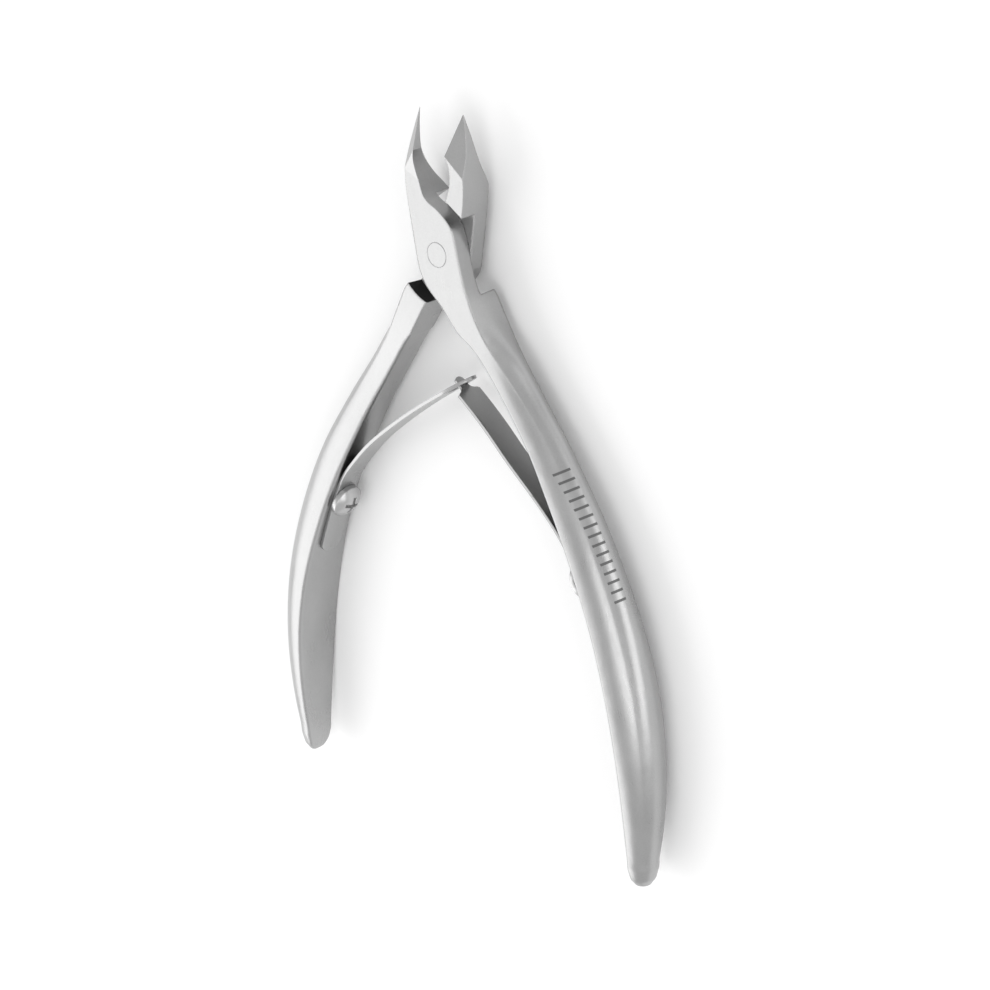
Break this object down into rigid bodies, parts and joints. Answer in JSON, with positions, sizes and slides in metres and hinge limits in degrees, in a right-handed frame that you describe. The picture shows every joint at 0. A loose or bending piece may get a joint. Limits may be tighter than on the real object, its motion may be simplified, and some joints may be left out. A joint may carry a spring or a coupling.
{
  "type": "cuticle nipper",
  "caption": "Satin stainless cuticle nipper with a lap joint, slanted half jaws and two interlocking leaf springs, relaxed open",
  "frame": {"origin": "on the pivot axis, at the flat rear face of the joint", "axes": "+Z runs along the pivot axis from the rear face to the front face, +Y from the pivot towards the jaws, +X to the right seen from the front"},
  "size_m": [0.0832, 0.1217, 0.0092],
  "materials": {
    "forged_steel": "satin brushed",
    "rivet_steel": "ground flush",
    "spring_steel": "fine satin",
    "screw_steel": "turned, smooth"
  },
  "bodies": {
    "rear_side": {"rear_lever": "forged_steel", "pivot_rivet": "rivet_steel", "slotted_spring_foot": "spring_steel", "rear_spring_screw": "screw_steel"},
    "front_side": {"front_lever": "forged_steel", "tongue_spring_foot": "spring_steel", "front_spring_screw": "screw_steel"},
    "tongue_spring": {"tongue_spring_blade": "spring_steel"},
    "slotted_spring": {"slotted_spring_blade": "spring_steel"}
  },
  "joints": [
    {"name": "pivot", "type": "hinge", "parent": "rear_side", "child": "front_side", "pos_m": [0, 0, 0.0029], "axis": [0, 0, -1], "range_deg": [0, 22.84], "stiffness_Nm_per_rad": 0.9},
    {"name": "tongue_spring_flex", "type": "hinge", "parent": "front_side", "child": "tongue_spring", "pos_m": [0.02374, -0.04213, 0.0029], "axis": [0, 0, -1], "range_deg": [0, 5]},
    {"name": "slotted_spring_flex", "type": "hinge", "parent": "rear_side", "child": "slotted_spring", "pos_m": [-0.02374, -0.04213, 0.0029], "axis": [0, 0, 1], "range_deg": [0, 11]}
  ],
  "couplings": [
    {"joint": "tongue_spring_flex", "follows": "pivot", "ratio": 0.2188},
    {"joint": "slotted_spring_flex", "follows": "pivot", "ratio": 0.4815}
  ]
}
